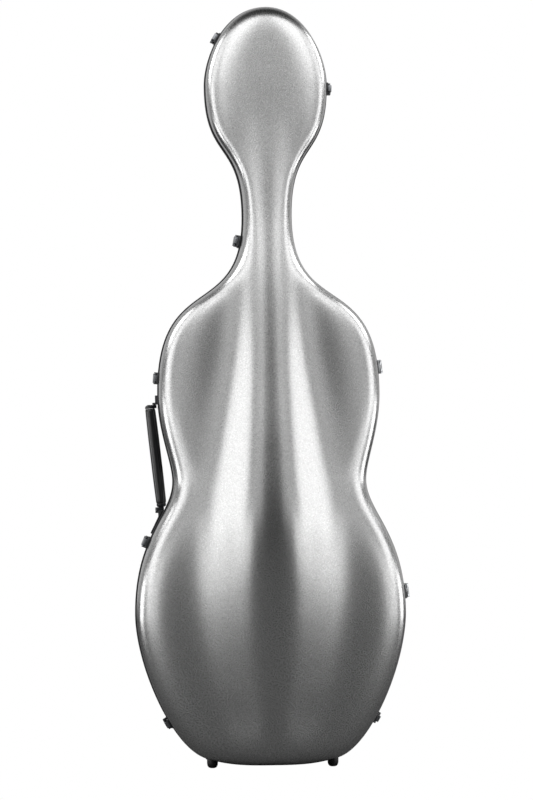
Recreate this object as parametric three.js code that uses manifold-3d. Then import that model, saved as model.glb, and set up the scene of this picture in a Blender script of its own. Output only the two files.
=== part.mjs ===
// Cello hard case: two composite half shells on a black rim, hinged on one side and latched on the other.
// Millimetres, +Z up, standing on its feet. The lid faces -Y and the back, which carries the cello, +Y.
import * as THREE from 'three';
import { mergeVertices } from 'three/addons/utils/BufferGeometryUtils.js';
import Module from 'manifold-3d';

const wasm = await Module();
wasm.setup();

// Outline of the closed case, seen from the lid side: half widths and the heights where they occur
const caseHeight = 1320;
const headHalfWidth = 107;
const neckHalfWidth = 43.4;
const upperHalfWidth = 193.5;
const waistHalfWidth = 168.7;
const lowerHalfWidth = 235.8;
const cornerHalfShare = 0.485;
const cornerHeight = 14.5;
const bottomHeight = 3.5;
const bottomSlope = 0.29;
const headHeightShare = 0.8962;
const neckHeightShare = 0.7242;
const upperHeightShare = 0.4909;
const waistHeightShare = 0.3762;
const lowerHeightShare = 0.2011;
const headHeight = caseHeight * headHeightShare;
const neckHeight = caseHeight * neckHeightShare;
const upperHeight = caseHeight * upperHeightShare;
const waistHeight = caseHeight * waistHeightShare;
const lowerHeight = caseHeight * lowerHeightShare;
const cornerHalfWidth = lowerHalfWidth * cornerHalfShare;

// How far each curve of the outline keeps its end direction, as a share of its height or width
const headTopShares = [0.655, 0.378];
const headNeckShares = [0.574, 0.59];
const neckUpperShares = [0.601, 0.717];
const upperWaistShares = [0.434, 0.229];
const waistLowerShares = [0.249, 0.598];
const lowerCornerShares = [0.349, 0.57];
const cornerBottomShares = [0.4, 0.4];
const outlineSteps = [6, 6, 8, 4, 5, 6, 2];

// Depths of the two shells from the parting plane
const lidDepth = 80;
const spineRise = 48;
const spineWidth = 65;
const backDepth = 172;
const bottomCap = 110;
const headCap = 75;
const capFade = 1.3;

// Shares of the height, with the share of the depth or rise that the shell has there
const lidDepthShares = [
  [0, 0.98], [0.2, 1], [0.34, 1], [0.5, 0.9], [0.65, 0.83], [0.74, 0.78], [0.9, 0.73], [1, 0.7],
];
const spineRiseShares = [
  [0, 0.45], [0.1, 0.62], [0.21, 0.86], [0.32, 1], [0.42, 0.86],
  [0.52, 0.63], [0.62, 0.42], [0.73, 0.18], [0.84, 0.03], [0.92, 0], [1, 0],
];
const spineWidthShares = [
  [0, 0.55], [0.06, 0.62], [0.113, 0.8], [0.17, 0.93], [0.24, 1], [0.324, 0.94], [0.377, 0.84],
  [0.43, 0.75], [0.482, 0.66], [0.53, 0.58], [0.6, 0.52], [0.7, 0.44], [1, 0.4],
];
const backDepthShares = [
  [0, 0.98], [0.2, 1], [0.4, 0.95], [0.5, 0.87], [0.62, 0.7],
  [0.73, 0.46], [0.84, 0.47], [0.92, 0.5], [1, 0.5],
];
const lidRoundness = 5.5;
const lidCrown = 12;
const backRoundness = 3.4;

// Rows of each dome, as shares of the reach from its centre line out to its skirt
const lidRowShares = [0.995, 0.965, 0.9, 0.76, 0.5, 0.3, 0.14, 0];
const backRowShares = [0.98, 0.91, 0.74, 0.45, 0];
const liningRowShares = [0.94, 0.6, 0];

// Walls, rims and seal
const shellWall = 3;
const rimHeight = 8;
const rimWall = 2;
const rimWeb = 3;
const rimGap = 0.4;
const clearance = 0.3;
const seatGap = 0.5;
const sealWidth = 2.2;
const sealGroove = 1.2;
const liningThickness = 12;
const lidLiningThickness = 8;
const shellInset = rimWall + clearance;
const rimWidth = shellInset + shellWall + clearance + rimWall;
const skirtRise = 1;
const skirtHeight = rimHeight + skirtRise;
const partingShift = (lidDepth + spineRise - backDepth) / 2;
const weld = 0.001;

// Fittings round the rim, as shares of the case height
const latchPlaces = [
  { name: 'head_left', side: -1, heightShare: 0.959 },
  { name: 'neck_left', side: -1, heightShare: 0.692 },
  { name: 'upper_left', side: -1, heightShare: 0.512 },
  { name: 'waist_left', side: -1, heightShare: 0.2955 },
  { name: 'lower_left', side: -1, heightShare: 0.0585 },
  { name: 'head_right', side: 1, heightShare: 0.8925 },
  { name: 'lower_right', side: 1, heightShare: 0.0625 },
];
const hingePlaces = [
  { name: 'upper', heightShare: 0.5247 },
  { name: 'lower', heightShare: 0.229 },
];

// Sides of the round parts: pins and bores, barrels and eyes, the feet and the grip
const pinSides = 10;
const barrelSides = 12;
const footSides = 16;
const gripSides = 14;
const saddleSides = 20;

// Materials: colour, roughness and metalness of each finish
const finish = (color, roughness, metalness) => new THREE.MeshStandardMaterial({
  color,
  roughness,
  metalness,
});
const silverShell = finish(0xb4b5b4, 0.38, 0.75);
const blackTrim = finish(0x17181a, 0.5, 0.1);
const blackHardware = finish(0x202124, 0.4, 0.6);
const darkSteel = finish(0x6b6d70, 0.32, 0.9);
const rubber = finish(0x121212, 0.85, 0);
const velour = finish(0x33353a, 0.95, 0);
const gripLeather = finish(0x151517, 0.45, 0);

const hardCase = new THREE.Group();
hardCase.position.y = partingShift;
const add = (name, geometry, material, parent = hardCase) => {
  const mesh = new THREE.Mesh(geometry, material);
  mesh.name = name;
  parent.add(mesh);
  return mesh;
};

// Joining and cutting of closed solids
function solid(geometry) {
  const bare = geometry.clone();
  bare.deleteAttribute('normal');
  bare.deleteAttribute('uv');
  const merged = mergeVertices(bare);
  const vertProperties = new Float32Array(merged.attributes.position.array);
  const triVerts = new Uint32Array(merged.index.array);
  return new wasm.Manifold(new wasm.Mesh({ numProp: 3, vertProperties, triVerts }));
}

function geometryOf(body) {
  const mesh = body.getMesh();
  const geometry = new THREE.BufferGeometry();
  geometry.setAttribute('position', new THREE.BufferAttribute(new Float32Array(mesh.vertProperties), 3));
  geometry.setIndex(Array.from(mesh.triVerts));
  return geometry;
}

const join = (...pieces) => geometryOf(pieces.map(solid).reduce((all, piece) => all.add(piece)));
const cut = (piece, ...cutters) => {
  const rest = cutters.reduce((body, cutter) => body.subtract(solid(cutter)), solid(piece));
  return geometryOf(rest);
};

// A flat outline in x and y, given a length along z; a bar with square corners; a round rod along z
function slab(points, from, to) {
  const corners = points.map(([x, y]) => new THREE.Vector2(x, y));
  if (THREE.ShapeUtils.area(corners) < 0) corners.reverse();
  const shape = new THREE.Shape(corners);
  return new THREE.ExtrudeGeometry(shape, { depth: to - from, bevelEnabled: false }).translate(0, 0, from);
}

const bar = (x0, x1, y0, y1, z0, z1) => slab([[x0, y0], [x1, y0], [x1, y1], [x0, y1]], z0, z1);

function rod(radius, x, y, from, to, sides = barrelSides) {
  return new THREE.CylinderGeometry(radius, radius, to - from, sides)
    .rotateX(Math.PI / 2)
    .translate(x, y, (from + to) / 2);
}

// The half outline from the top of the head down to the middle of the bottom, on the right side
const spot = (x, z) => new THREE.Vector2(x, z);
const cornerRun = (lowerHeight - cornerHeight) * (1 - lowerCornerShares[1]);
const bottomRun = cornerHalfWidth * cornerBottomShares[0];
const stations = [
  [spot(0, caseHeight), spot(headHalfWidth, headHeight), headTopShares, 'quarter'],
  [spot(headHalfWidth, headHeight), spot(neckHalfWidth, neckHeight), headNeckShares, 'side'],
  [spot(neckHalfWidth, neckHeight), spot(upperHalfWidth, upperHeight), neckUpperShares, 'side'],
  [spot(upperHalfWidth, upperHeight), spot(waistHalfWidth, waistHeight), upperWaistShares, 'side'],
  [spot(waistHalfWidth, waistHeight), spot(lowerHalfWidth, lowerHeight), waistLowerShares, 'side'],
];
const halfOutline = stations.map(([from, to, [first, second], kind]) => {
  const drop = from.y - to.y;
  const handleOut = kind === 'quarter' ? spot(to.x * first, from.y) : spot(from.x, from.y - drop * first);
  return new THREE.CubicBezierCurve(from, handleOut, spot(to.x, to.y + drop * second), to);
});
const corner = spot(cornerHalfWidth, cornerHeight);
const cornerWay = spot(Math.cos(bottomSlope), Math.sin(bottomSlope));
halfOutline.push(new THREE.CubicBezierCurve(
  spot(lowerHalfWidth, lowerHeight),
  spot(lowerHalfWidth, lowerHeight - (lowerHeight - cornerHeight) * lowerCornerShares[0]),
  corner.clone().addScaledVector(cornerWay, cornerRun * lowerCornerShares[1]),
  corner,
));
halfOutline.push(new THREE.CubicBezierCurve(
  corner,
  corner.clone().addScaledVector(cornerWay, -bottomRun),
  spot(cornerHalfWidth * cornerBottomShares[1], bottomHeight),
  spot(0, bottomHeight),
));

// One point of the rim's outer edge, with the direction that points away from the case
function edgePoint(curve, t) {
  const point = curve.getPoint(t);
  const tangent = curve.getTangent(t);
  return { x: point.x, z: point.y, nx: -tangent.y, nz: tangent.x };
}

const rightHalf = halfOutline.flatMap((curve, number) => Array.from(
  { length: outlineSteps[number] },
  (_, step) => edgePoint(curve, step / outlineSteps[number]),
));
rightHalf.push(edgePoint(halfOutline.at(-1), 1));
rightHalf[0] = { ...rightHalf[0], x: 0, nx: 0, nz: 1 };
rightHalf[rightHalf.length - 1] = { ...rightHalf.at(-1), x: 0, nx: 0, nz: -1 };
const leftHalf = rightHalf.slice(1, -1).reverse().map((edge) => ({ ...edge, x: -edge.x, nx: -edge.nx }));
const outline = [...rightHalf, ...leftHalf];

// The place on the rim at a height, on either side, with the direction out of the case
function rimAt(side, height) {
  const index = rightHalf.findIndex((edge, place) => place > 0 && edge.z <= height);
  const [above, below] = [rightHalf[index - 1], rightHalf[index]];
  const share = (above.z - height) / (above.z - below.z);
  const mix = (key) => THREE.MathUtils.lerp(above[key], below[key], share);
  const turn = Math.hypot(mix('nx'), mix('nz'));
  return { x: side * mix('x'), z: height, nx: side * mix('nx') / turn, nz: mix('nz') / turn };
}

// The value that a table of [height share, value] has at a height, on a smooth curve through its rows
function valueAt(table, height) {
  const share = THREE.MathUtils.clamp(height / caseHeight, 0, 1);
  const last = table.length - 2;
  const row = Math.min(last, Math.max(0, table.findIndex(([place]) => place > share) - 1));
  const index = share >= 1 ? last : row;
  const slope = (at) => {
    const before = table[Math.max(0, at - 1)];
    const after = table[Math.min(table.length - 1, at + 1)];
    return (after[1] - before[1]) / (after[0] - before[0]);
  };
  const [start, end] = [table[index], table[index + 1]];
  const run = end[0] - start[0];
  const u = (share - start[0]) / run;
  const rise = end[1] - start[1];
  const bend = run * slope(index);
  const tail = run * slope(index + 1);
  return start[1] + u * (bend + u * (3 * rise - 2 * bend - tail + u * (bend + tail - 2 * rise)));
}

// The two shells. Each row of points runs round the outline; the last row closes on the centre line.
// The centre line starts inside both ends, so the ends are rounded as the sides are.
const centreHeight = (height) => height
  + bottomCap * Math.exp((bottomHeight - height) / (bottomCap * capFade))
  - headCap * Math.exp((height - caseHeight) / (headCap * capFade));
const spineSection = (x, z) => Math.exp(-((x / spineWidth / valueAt(spineWidthShares, z)) ** 2) / 2);
const lidSurface = {
  way: -1,
  roundness: lidRoundness,
  depth: (x, z) => lidDepth * valueAt(lidDepthShares, z) - lidCrown * (x / lowerHalfWidth) ** 2
    + spineRise * Math.max(0, valueAt(spineRiseShares, z)) * spineSection(x, z),
};
const backSurface = {
  way: 1,
  roundness: backRoundness,
  depth: (x, z) => backDepth * valueAt(backDepthShares, z),
};

// A row on the straight skirt, at an inset from the rim's edge and a distance from the parting plane
const skirtRow = (surface, inset, distance) => outline.map((edge) => [
  edge.x - edge.nx * inset,
  surface.way * distance,
  edge.z - edge.nz * inset,
]);

// A row on the dome: reach is its share of the way out from the centre line, and sink is how far it
// lies below the outside
function domeRow(surface, inset, sink, reach) {
  const rise = (1 - reach ** surface.roundness) ** (1 / surface.roundness);
  return outline.map((edge) => {
    const startX = edge.x - edge.nx * inset;
    const startZ = edge.z - edge.nz * inset;
    const x = startX * reach;
    const z = THREE.MathUtils.lerp(centreHeight(edge.z), startZ, reach);
    return [x, surface.way * (skirtHeight + rise * (surface.depth(x, z) - sink - skirtHeight)), z];
  });
}

const dome = (surface, inset, sink, reaches) => reaches
  .map((reach) => domeRow(surface, inset, sink, reach));

// Joins rows of points into faces; a strip faces the way that the case's outside does when flip is false
function faces(rows, flip) {
  const triangles = [];
  const count = outline.length;
  for (let row = 0; row < rows.length - 1; row += 1) {
    for (let place = 0; place < count; place += 1) {
      const next = (place + 1) % count;
      const [a, b] = [rows[row][place], rows[row][next]];
      const [c, d] = [rows[row + 1][next], rows[row + 1][place]];
      const pair = place < count / 2 ? [[a, b, c], [a, c, d]] : [[a, b, d], [b, c, d]];
      triangles.push(...pair.map((corners) => (flip ? [...corners].reverse() : corners)));
    }
  }
  return triangles;
}

// One closed geometry from triangles; the ones that fold to nothing on the centre line are left out
function closed(triangles) {
  const key = (point) => point.map((value) => Math.round(value / weld)).join();
  const kept = triangles.filter((corners) => new Set(corners.map(key)).size === 3);
  const geometry = new THREE.BufferGeometry();
  geometry.setAttribute('position', new THREE.Float32BufferAttribute(kept.flat(2), 3));
  return mergeVertices(geometry, weld);
}

// A wall between an outer and an inner set of rows, closed along the edge of their first rows
function wall(outside, inside, flip) {
  return closed([
    ...faces(outside, flip),
    ...faces(inside, !flip),
    ...faces([inside[0], outside[0]], flip),
  ]);
}

function shell(surface, reaches) {
  const start = rimWeb + clearance;
  const outside = [
    skirtRow(surface, shellInset, start),
    skirtRow(surface, shellInset, skirtHeight),
    ...dome(surface, shellInset, 0, reaches),
  ];
  const inset = shellInset + shellWall;
  const inside = [
    skirtRow(surface, inset, start),
    skirtRow(surface, inset, skirtHeight),
    ...dome(surface, inset, shellWall, reaches),
  ];
  return wall(outside, inside, surface.way < 0);
}

function lining(surface, reaches, thickness) {
  const gapInset = shellInset + shellWall + clearance;
  const gapSink = shellWall + clearance;
  const outside = [skirtRow(surface, gapInset, skirtHeight), ...dome(surface, gapInset, gapSink, reaches)];
  const inside = [
    skirtRow(surface, gapInset + thickness, skirtHeight),
    ...dome(surface, gapInset + thickness, gapSink + thickness, liningRowShares),
  ];
  return wall(outside, inside, surface.way < 0);
}

// A rim or seal: a closed section of [inset, distance] points carried round the outline
function ring(surface, section) {
  const rows = section.map(([inset, distance]) => skirtRow(surface, inset, distance));
  return closed(faces([...rows, rows[0]], surface.way > 0));
}

const channel = [
  [rimWidth, rimHeight],
  [rimWidth - rimWall, rimHeight],
  [rimWidth - rimWall, rimWeb],
  [rimWall, rimWeb],
  [rimWall, rimHeight],
  [0, rimHeight],
];
const sealInset = (rimWidth - sealWidth) / 2;
const groove = [
  [sealInset - clearance, rimGap],
  [sealInset - clearance, rimGap + sealGroove],
  [sealInset + sealWidth + clearance, rimGap + sealGroove],
  [sealInset + sealWidth + clearance, rimGap],
];
const sealFoot = rimGap + sealGroove - clearance;
const sealTip = clearance - rimGap;

add('back_shell', shell(backSurface, backRowShares), silverShell);
add('lid_shell', shell(lidSurface, lidRowShares), silverShell);
add('back_rim', ring(backSurface, [...channel, [0, rimGap], ...groove, [rimWidth, rimGap]]), blackTrim);
add('lid_rim', ring(lidSurface, [...channel, [0, rimGap], [rimWidth, rimGap]]), blackTrim);
add('rim_seal', ring(backSurface, [
  [sealInset, sealTip],
  [sealInset + sealWidth, sealTip],
  [sealInset + sealWidth, sealFoot],
  [sealInset, sealFoot],
]), rubber);
add('back_lining', lining(backSurface, backRowShares, liningThickness), velour);
add('lid_lining', lining(lidSurface, lidRowShares, lidLiningThickness), velour);

// The closed case grown by the clearance; outside fittings are cut by it, so they seat on shell and rim
function grownHalf(surface, reaches) {
  const inset = shellInset - seatGap;
  return [
    skirtRow(surface, -clearance, rimHeight + clearance),
    skirtRow(surface, inset, rimHeight + clearance),
    skirtRow(surface, inset, skirtHeight),
    ...dome(surface, inset, -seatGap, reaches),
  ];
}
const grownCase = solid(closed(faces([
  ...grownHalf(lidSurface, lidRowShares).reverse(),
  ...grownHalf(backSurface, backRowShares),
], false)));

// A frame on the rim: local x points out of the case, y to the back and z along the rim
function rimFrame(side, height) {
  const edge = rimAt(side, height);
  const frame = new THREE.Group();
  const out = new THREE.Vector3(edge.nx, 0, edge.nz);
  const back = new THREE.Vector3(0, 1, 0);
  const along = new THREE.Vector3().crossVectors(out, back);
  frame.setRotationFromMatrix(new THREE.Matrix4().makeBasis(out, back, along));
  frame.position.set(edge.x, 0, edge.z);
  frame.updateMatrix();
  hardCase.add(frame);
  return frame;
}

// Cuts a fitting, drawn in its frame, by the grown case, and keeps the piece that stands outside
function largest(body) {
  const pieces = body.decompose().sort((one, other) => other.volume() - one.volume());
  return pieces[0];
}

function seat(frame, geometry) {
  const placed = solid(geometry.clone().applyMatrix4(frame.matrix)).subtract(grownCase);
  return geometryOf(largest(placed)).applyMatrix4(frame.matrix.clone().invert());
}

// Draw latch. The base stands on the back shell and carries the lever on a pin; the lever carries the
// claw on a second pin, and the claw reaches over the rim to the catch on the lid.
const latchHalfWidth = 10.4;
const latchSink = 9;
const plateTop = 1;
const plateStart = 9.5;
const plateEnd = 44;
const earWidth = 2;
const earClear = 0.4;
const cheekWidth = 2;
const pinRadius = 1.5;
const pinPlay = 0.3;
const leverPin = { x: 4.8, y: 15 };
const clawPin = { x: 5.6, y: 21.5 };
const eyeWall = 1.7;
const leverPlate = 1.6;
const leverPlateStart = 27.5;
const leverEnd = 46;
const clawHalfWidth = 5.4;
const clawArmIn = 6.8;
const clawArmOut = 8.6;
const clawTip = -8.5;
const clawLip = 2.2;
const clawLipReach = 2.2;
const lugTop = 3.9;
const lugStart = -6;
const lugEnd = -3;
const catchEnd = -24;
const catchStart = -9.5;
const catchHalfWidth = 8.5;
const bridgeTop = 1.7;

const cheekOut = latchHalfWidth - earWidth - earClear;
const cheekIn = cheekOut - cheekWidth;
const basePinHalf = latchHalfWidth - earWidth / 2;
const leverPinHalf = cheekOut - cheekWidth / 2;
const eyeRadius = pinRadius + pinPlay + eyeWall;
const mirroredBar = (half, inner, draw) => [draw(inner, half), draw(-half, -inner)];

function latchBase() {
  const ear = (from, to) => slab([
    [-plateTop, plateStart],
    [leverPin.x, leverPin.y - eyeRadius],
    [leverPin.x + eyeRadius, leverPin.y],
    [leverPin.x, leverPin.y + eyeRadius],
    [-plateTop, leverPin.y + 2 * eyeRadius],
  ], from, to);
  return join(
    bar(-latchSink, plateTop, plateStart, plateEnd, -latchHalfWidth, latchHalfWidth),
    ...mirroredBar(latchHalfWidth, latchHalfWidth - earWidth, ear),
    rod(pinRadius, leverPin.x, leverPin.y, -basePinHalf, basePinHalf, pinSides),
  );
}

function latchLever() {
  const cheek = (from, to) => join(
    rod(eyeRadius, leverPin.x, leverPin.y, from, to, pinSides),
    slab([
      [leverPin.x + eyeRadius, leverPin.y],
      [clawPin.x + eyeRadius, clawPin.y],
      [clawPin.x + eyeRadius, leverEnd],
      [clawPin.x + eyeRadius - leverPlate, leverEnd],
      [plateTop + earClear, leverPlateStart],
      [leverPin.x - eyeRadius, leverPin.y],
    ], from, to),
  );
  const bridge = bar(
    clawPin.x + eyeRadius - leverPlate,
    clawPin.x + eyeRadius,
    leverPlateStart,
    leverEnd,
    -cheekOut,
    cheekOut,
  );
  const pin = rod(pinRadius, clawPin.x, clawPin.y, -leverPinHalf, leverPinHalf, pinSides);
  const boreHalf = cheekOut + clearance;
  const bore = rod(pinRadius + pinPlay, leverPin.x, leverPin.y, -boreHalf, boreHalf, pinSides);
  return cut(join(...mirroredBar(cheekOut, cheekIn, cheek), bridge, pin), bore);
}

function latchClaw() {
  const body = join(
    rod(eyeRadius, clawPin.x, clawPin.y, -clawHalfWidth, clawHalfWidth, pinSides),
    slab([
      [clawPin.x, clawPin.y + eyeRadius],
      [clawArmIn, clawPin.y - pinRadius],
      [clawArmIn, clawTip + clawLip],
      [clawLipReach, clawTip + clawLip],
      [clawLipReach, clawTip],
      [clawArmOut, clawTip],
      [clawPin.x + eyeRadius, clawPin.y],
    ], -clawHalfWidth, clawHalfWidth),
  );
  const boreHalf = clawHalfWidth + clearance;
  return cut(body, rod(pinRadius + pinPlay, clawPin.x, clawPin.y, -boreHalf, boreHalf, pinSides));
}

const latchCatch = () => join(
  bar(-latchSink, bridgeTop, catchEnd, catchStart, -catchHalfWidth, catchHalfWidth),
  bar(-plateTop, bridgeTop, catchStart - clearance, lugEnd, -catchHalfWidth, catchHalfWidth),
  slab([
    [0, lugStart],
    [lugTop, lugStart],
    [lugTop, lugEnd - bridgeTop],
    [bridgeTop, lugEnd],
    [0, lugEnd],
  ], -catchHalfWidth, catchHalfWidth),
);

for (const place of latchPlaces) {
  const frame = rimFrame(place.side, place.heightShare * caseHeight);
  add(`latch_base_${place.name}`, seat(frame, latchBase()), blackHardware, frame);
  add(`latch_lever_${place.name}`, latchLever(), blackHardware, frame);
  add(`latch_claw_${place.name}`, latchClaw(), darkSteel, frame);
  add(`latch_catch_${place.name}`, seat(frame, latchCatch()), blackHardware, frame);
}

// Stop hinges. Each turns on a line outside the rim, which leans as the side of the case does.
const hingeStandoff = 6.3;
const hingeEnds = hingePlaces.map(({ heightShare }) => {
  const edge = rimAt(1, heightShare * caseHeight);
  return { x: edge.x + hingeStandoff, z: edge.z };
});
const [hingeUpper, hingeLower] = hingeEnds;
const barrelRadius = 3.3;
const barrelHalf = 12;
const lidBarrelHalf = 5.6;
const hingePin = 1.5;
const hingeArmHalf = 3.4;
const hingeReach = 22;
const leafStart = 9.4;
const leafEnd = 30;
const leafTop = 3.4;
const armTop = 2.2;
const armShare = 0.5;

const hingeLine = new THREE.Vector3(hingeUpper.x - hingeLower.x, 0, hingeUpper.z - hingeLower.z)
  .normalize();

function hingeFrame(share) {
  const height = share * caseHeight;
  const along = (height - hingeLower.z) / hingeLine.z;
  const frame = new THREE.Group();
  const back = new THREE.Vector3(0, 1, 0);
  const out = new THREE.Vector3().crossVectors(back, hingeLine);
  frame.setRotationFromMatrix(new THREE.Matrix4().makeBasis(out, back, hingeLine));
  frame.position.set(hingeLower.x + hingeLine.x * along, 0, height);
  frame.updateMatrix();
  hardCase.add(frame);
  return frame;
}

// One leaf from the side of its shell out to its barrel; way is 1 on the back and -1 on the lid
function hingeLeaf(way, spans, armSpans) {
  const arms = armSpans.map(([from, to]) => slab([
    [-hingeReach, way * leafStart],
    [-barrelRadius - clearance, way * leafStart],
    [-barrelRadius, way * hingePin],
    [0, way * hingePin],
    [armTop, way * barrelRadius],
    [-armTop, way * leafEnd * armShare],
    [-leafTop, way * leafEnd],
    [-hingeReach, way * leafEnd],
  ], from, to));
  const plate = slab([
    [-hingeReach, way * leafStart],
    [-leafTop, way * leafStart],
    [-leafTop, way * leafEnd],
    [-hingeReach, way * leafEnd],
  ], -barrelHalf, barrelHalf);
  return join(...arms, plate, ...spans.map(([from, to]) => rod(barrelRadius, 0, 0, from, to)));
}

for (const place of hingePlaces) {
  const frame = hingeFrame(place.heightShare);
  const ends = [[lidBarrelHalf + clearance, barrelHalf], [-barrelHalf, -lidBarrelHalf - clearance]];
  const pin = rod(hingePin, 0, 0, -barrelHalf, barrelHalf, pinSides);
  const bore = rod(hingePin + clearance, 0, 0, -barrelHalf, barrelHalf, pinSides);
  const backLeaf = join(hingeLeaf(1, ends, ends), pin);
  const middle = [[-lidBarrelHalf, lidBarrelHalf]];
  const lidLeaf = cut(hingeLeaf(-1, middle, [[-hingeArmHalf, hingeArmHalf]]), bore);
  add(`hinge_${place.name}_back_leaf`, seat(frame, backLeaf), blackHardware, frame);
  add(`hinge_${place.name}_lid_leaf`, seat(frame, lidLeaf), blackHardware, frame);
}

// Feet: turned rubber domes, one pair under each shell, with flat soles at the floor
const footSpreadShare = 0.915;
const frontFootShare = 0.3125;
const rearFootShare = 0.628;
const footRadius = 9.5;
const footDome = [[4.2, 0], [6.9, 1.2], [8.7, 3.9], [9.5, 8]];
const footSink = 20;
const footSpread = cornerHalfWidth * footSpreadShare;
const footTop = cornerHeight + footSink;
const frontFootDistance = -lidDepth * frontFootShare;
const rearFootDistance = backDepth * rearFootShare;

function foot(x, y) {
  const profile = [
    spot(0, 0),
    ...footDome.map(([across, up]) => spot(across, up)),
    spot(footRadius, footTop),
    spot(0, footTop),
  ];
  const turned = new THREE.LatheGeometry(profile, footSides).rotateX(Math.PI / 2).translate(x, y, 0);
  return geometryOf(largest(solid(turned).subtract(grownCase)));
}

for (const [name, x] of [['left', -footSpread], ['right', footSpread]]) {
  add(`foot_front_${name}`, foot(x, frontFootDistance), rubber);
  add(`foot_rear_${name}`, foot(x, rearFootDistance), rubber);
}

// Carrying handle on the latch side. It turns on a line between two points, each at a height share
// and a distance out from the rim. The grip's ends lie beside that line, at shares of its length.
const beside = (heightShare, out) => {
  const edge = rimAt(1, heightShare * caseHeight);
  return { x: edge.x + out, z: edge.z };
};
const pivotTopOut = 6.6;
const pivotEndOut = 10.8;
const gripTopAside = 8;
const gripEndAside = -7;
const pivotTopShare = 0.4712;
const pivotEndShare = 0.3386;
const gripTopShare = -0.01;
const gripEndShare = 0.94;
const handleTop = beside(pivotTopShare, pivotTopOut);
const handleBottom = beside(pivotEndShare, pivotEndOut);
const handleSpan = Math.hypot(handleTop.x - handleBottom.x, handleTop.z - handleBottom.z);
const handleDistance = 21;
const gripRadius = 9.1;
const gripNeck = 8.5;
const capLength = 6;
const capTipRadius = 4.5;
const capDomeShares = [[1, 0], [1, 0.36], [0.93, 0.66], [0.76, 0.88], [0.5, 1], [0, 1]];
const eyeLength = 6;
const handleEye = 3.6;
const handlePin = 1.6;
const postLength = 3.4;
const mountDepthHalf = 9;
const mountPlate = 16;
const mountApron = 8;
const upperPlateRun = 24;
const lowerPlateRunShare = 0.2284929;
const plateToe = -0.0073577;
const mountTop = -1.2;
const mountSink = 26;
const plateLow = -5.6;
const mountRibShare = 0.75;
const swellShare = 0.16;

// How far the rim below the handle leans out from the line that the handle turns on
const lowerPlateRun = handleSpan * lowerPlateRunShare;
const plateTip = rimAt(1, handleBottom.z - lowerPlateRun);
const rimLean = Math.atan2(plateTip.x + pivotEndOut - handleBottom.x, lowerPlateRun);
const axisLean = Math.atan2(handleBottom.x - handleTop.x, handleTop.z - handleBottom.z);
const lowerPlateLean = rimLean - axisLean + plateToe;

const handleFrame = new THREE.Group();
const handleDown = new THREE.Vector3(handleTop.x - handleBottom.x, 0, handleBottom.z - handleTop.z)
  .normalize();
const handleBack = new THREE.Vector3(0, 1, 0);
const handleOut = new THREE.Vector3().crossVectors(handleBack, handleDown);
handleFrame.setRotationFromMatrix(new THREE.Matrix4().makeBasis(handleOut, handleBack, handleDown));
handleFrame.position.set(-handleTop.x, handleDistance, handleTop.z);
handleFrame.updateMatrix();
hardCase.add(handleFrame);

const gripStart = new THREE.Vector3(gripTopAside, 0, handleSpan * gripTopShare);
const gripStop = new THREE.Vector3(gripEndAside, 0, handleSpan * gripEndShare);
const gripLine = gripStop.clone().sub(gripStart);
const gripLength = gripLine.length();
const swell = gripLength * swellShare;

// A turned piece on the grip's line, drawn from the grip's top end downwards
function onGrip(profile) {
  const turn = new THREE.Quaternion();
  turn.setFromUnitVectors(new THREE.Vector3(0, 1, 0), gripLine.clone().normalize());
  return new THREE.LatheGeometry(profile, gripSides)
    .applyQuaternion(turn)
    .translate(gripStart.x, gripStart.y, gripStart.z);
}

const gripBody = onGrip([
  spot(0, clearance),
  spot(gripNeck, clearance),
  spot(gripRadius, swell),
  spot(gripRadius, gripLength - swell),
  spot(gripNeck, gripLength - clearance),
  spot(0, gripLength - clearance),
]);
const capProfile = (end, way) => [
  spot(0, end),
  ...capDomeShares.map(([radiusShare, share]) => spot(gripNeck * radiusShare, end + way * capLength * share)),
];
const topEye = gripStart.z - eyeLength - clearance;
const endEye = gripStop.z + capLength + clearance;
// An end: the cap on the grip, the eye on the pin and a web from one to the other
function handleEnd(cap, from, x, capMiddle) {
  const to = from + eyeLength;
  const [inner, outer] = [Math.min(x, 0), Math.max(x, 0)];
  const neck = [x - capTipRadius, x + capTipRadius, -handleEye, handleEye];
  const web = bar(inner, outer, -handleEye, handleEye, from, to);
  const body = join(
    cap,
    rod(handleEye, 0, 0, from, to),
    web,
    bar(...neck, Math.min(from, capMiddle), Math.max(to, capMiddle)),
  );
  return cut(body, rod(handlePin + clearance, 0, 0, from - clearance, to + clearance, pinSides));
}
const upperCap = onGrip(capProfile(0, -1).reverse());
const lowerCap = onGrip(capProfile(gripLength, 1));
const upperEnd = handleEnd(upperCap, topEye, gripStart.x, gripStart.z - capLength / 2);
const lowerEnd = handleEnd(lowerCap, endEye, gripStop.x, gripStop.z + capLength / 2);
add('handle_grip', gripBody, gripLeather, handleFrame);
add('handle_end_upper', cut(upperEnd, gripBody), blackHardware, handleFrame);
add('handle_end_lower', cut(lowerEnd, gripBody), blackHardware, handleFrame);

// A mount: a plate on the shell with a post that holds the pin; way points from the eye to the post.
// The plate leans out with the rim that it lies beside.
function handleMount(eyeFrom, way, apron, run, lean) {
  const eyeFace = way < 0 ? eyeFrom - clearance : eyeFrom + eyeLength + clearance;
  const ribHalf = mountDepthHalf * mountRibShare;
  const span = (from, to) => [Math.min(from, to), Math.max(from, to)];
  const post = span(eyeFace, eyeFace + way * postLength);
  const foot = span(eyeFace, eyeFace + way * mountPlate);
  const plate = span(-way * apron, way * run);
  const pin = span(eyeFace - way * (eyeLength - clearance), eyeFace + way * postLength / 2);
  return join(
    bar(-mountSink, plateLow, -mountDepthHalf, mountDepthHalf, ...plate)
      .rotateY(lean)
      .translate(0, 0, eyeFace),
    bar(-mountSink, mountTop, -ribHalf, ribHalf, ...foot),
    bar(-mountSink, handleEye, -handleEye, handleEye, ...post),
    rod(handlePin, 0, 0, ...pin, pinSides),
  );
}
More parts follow.
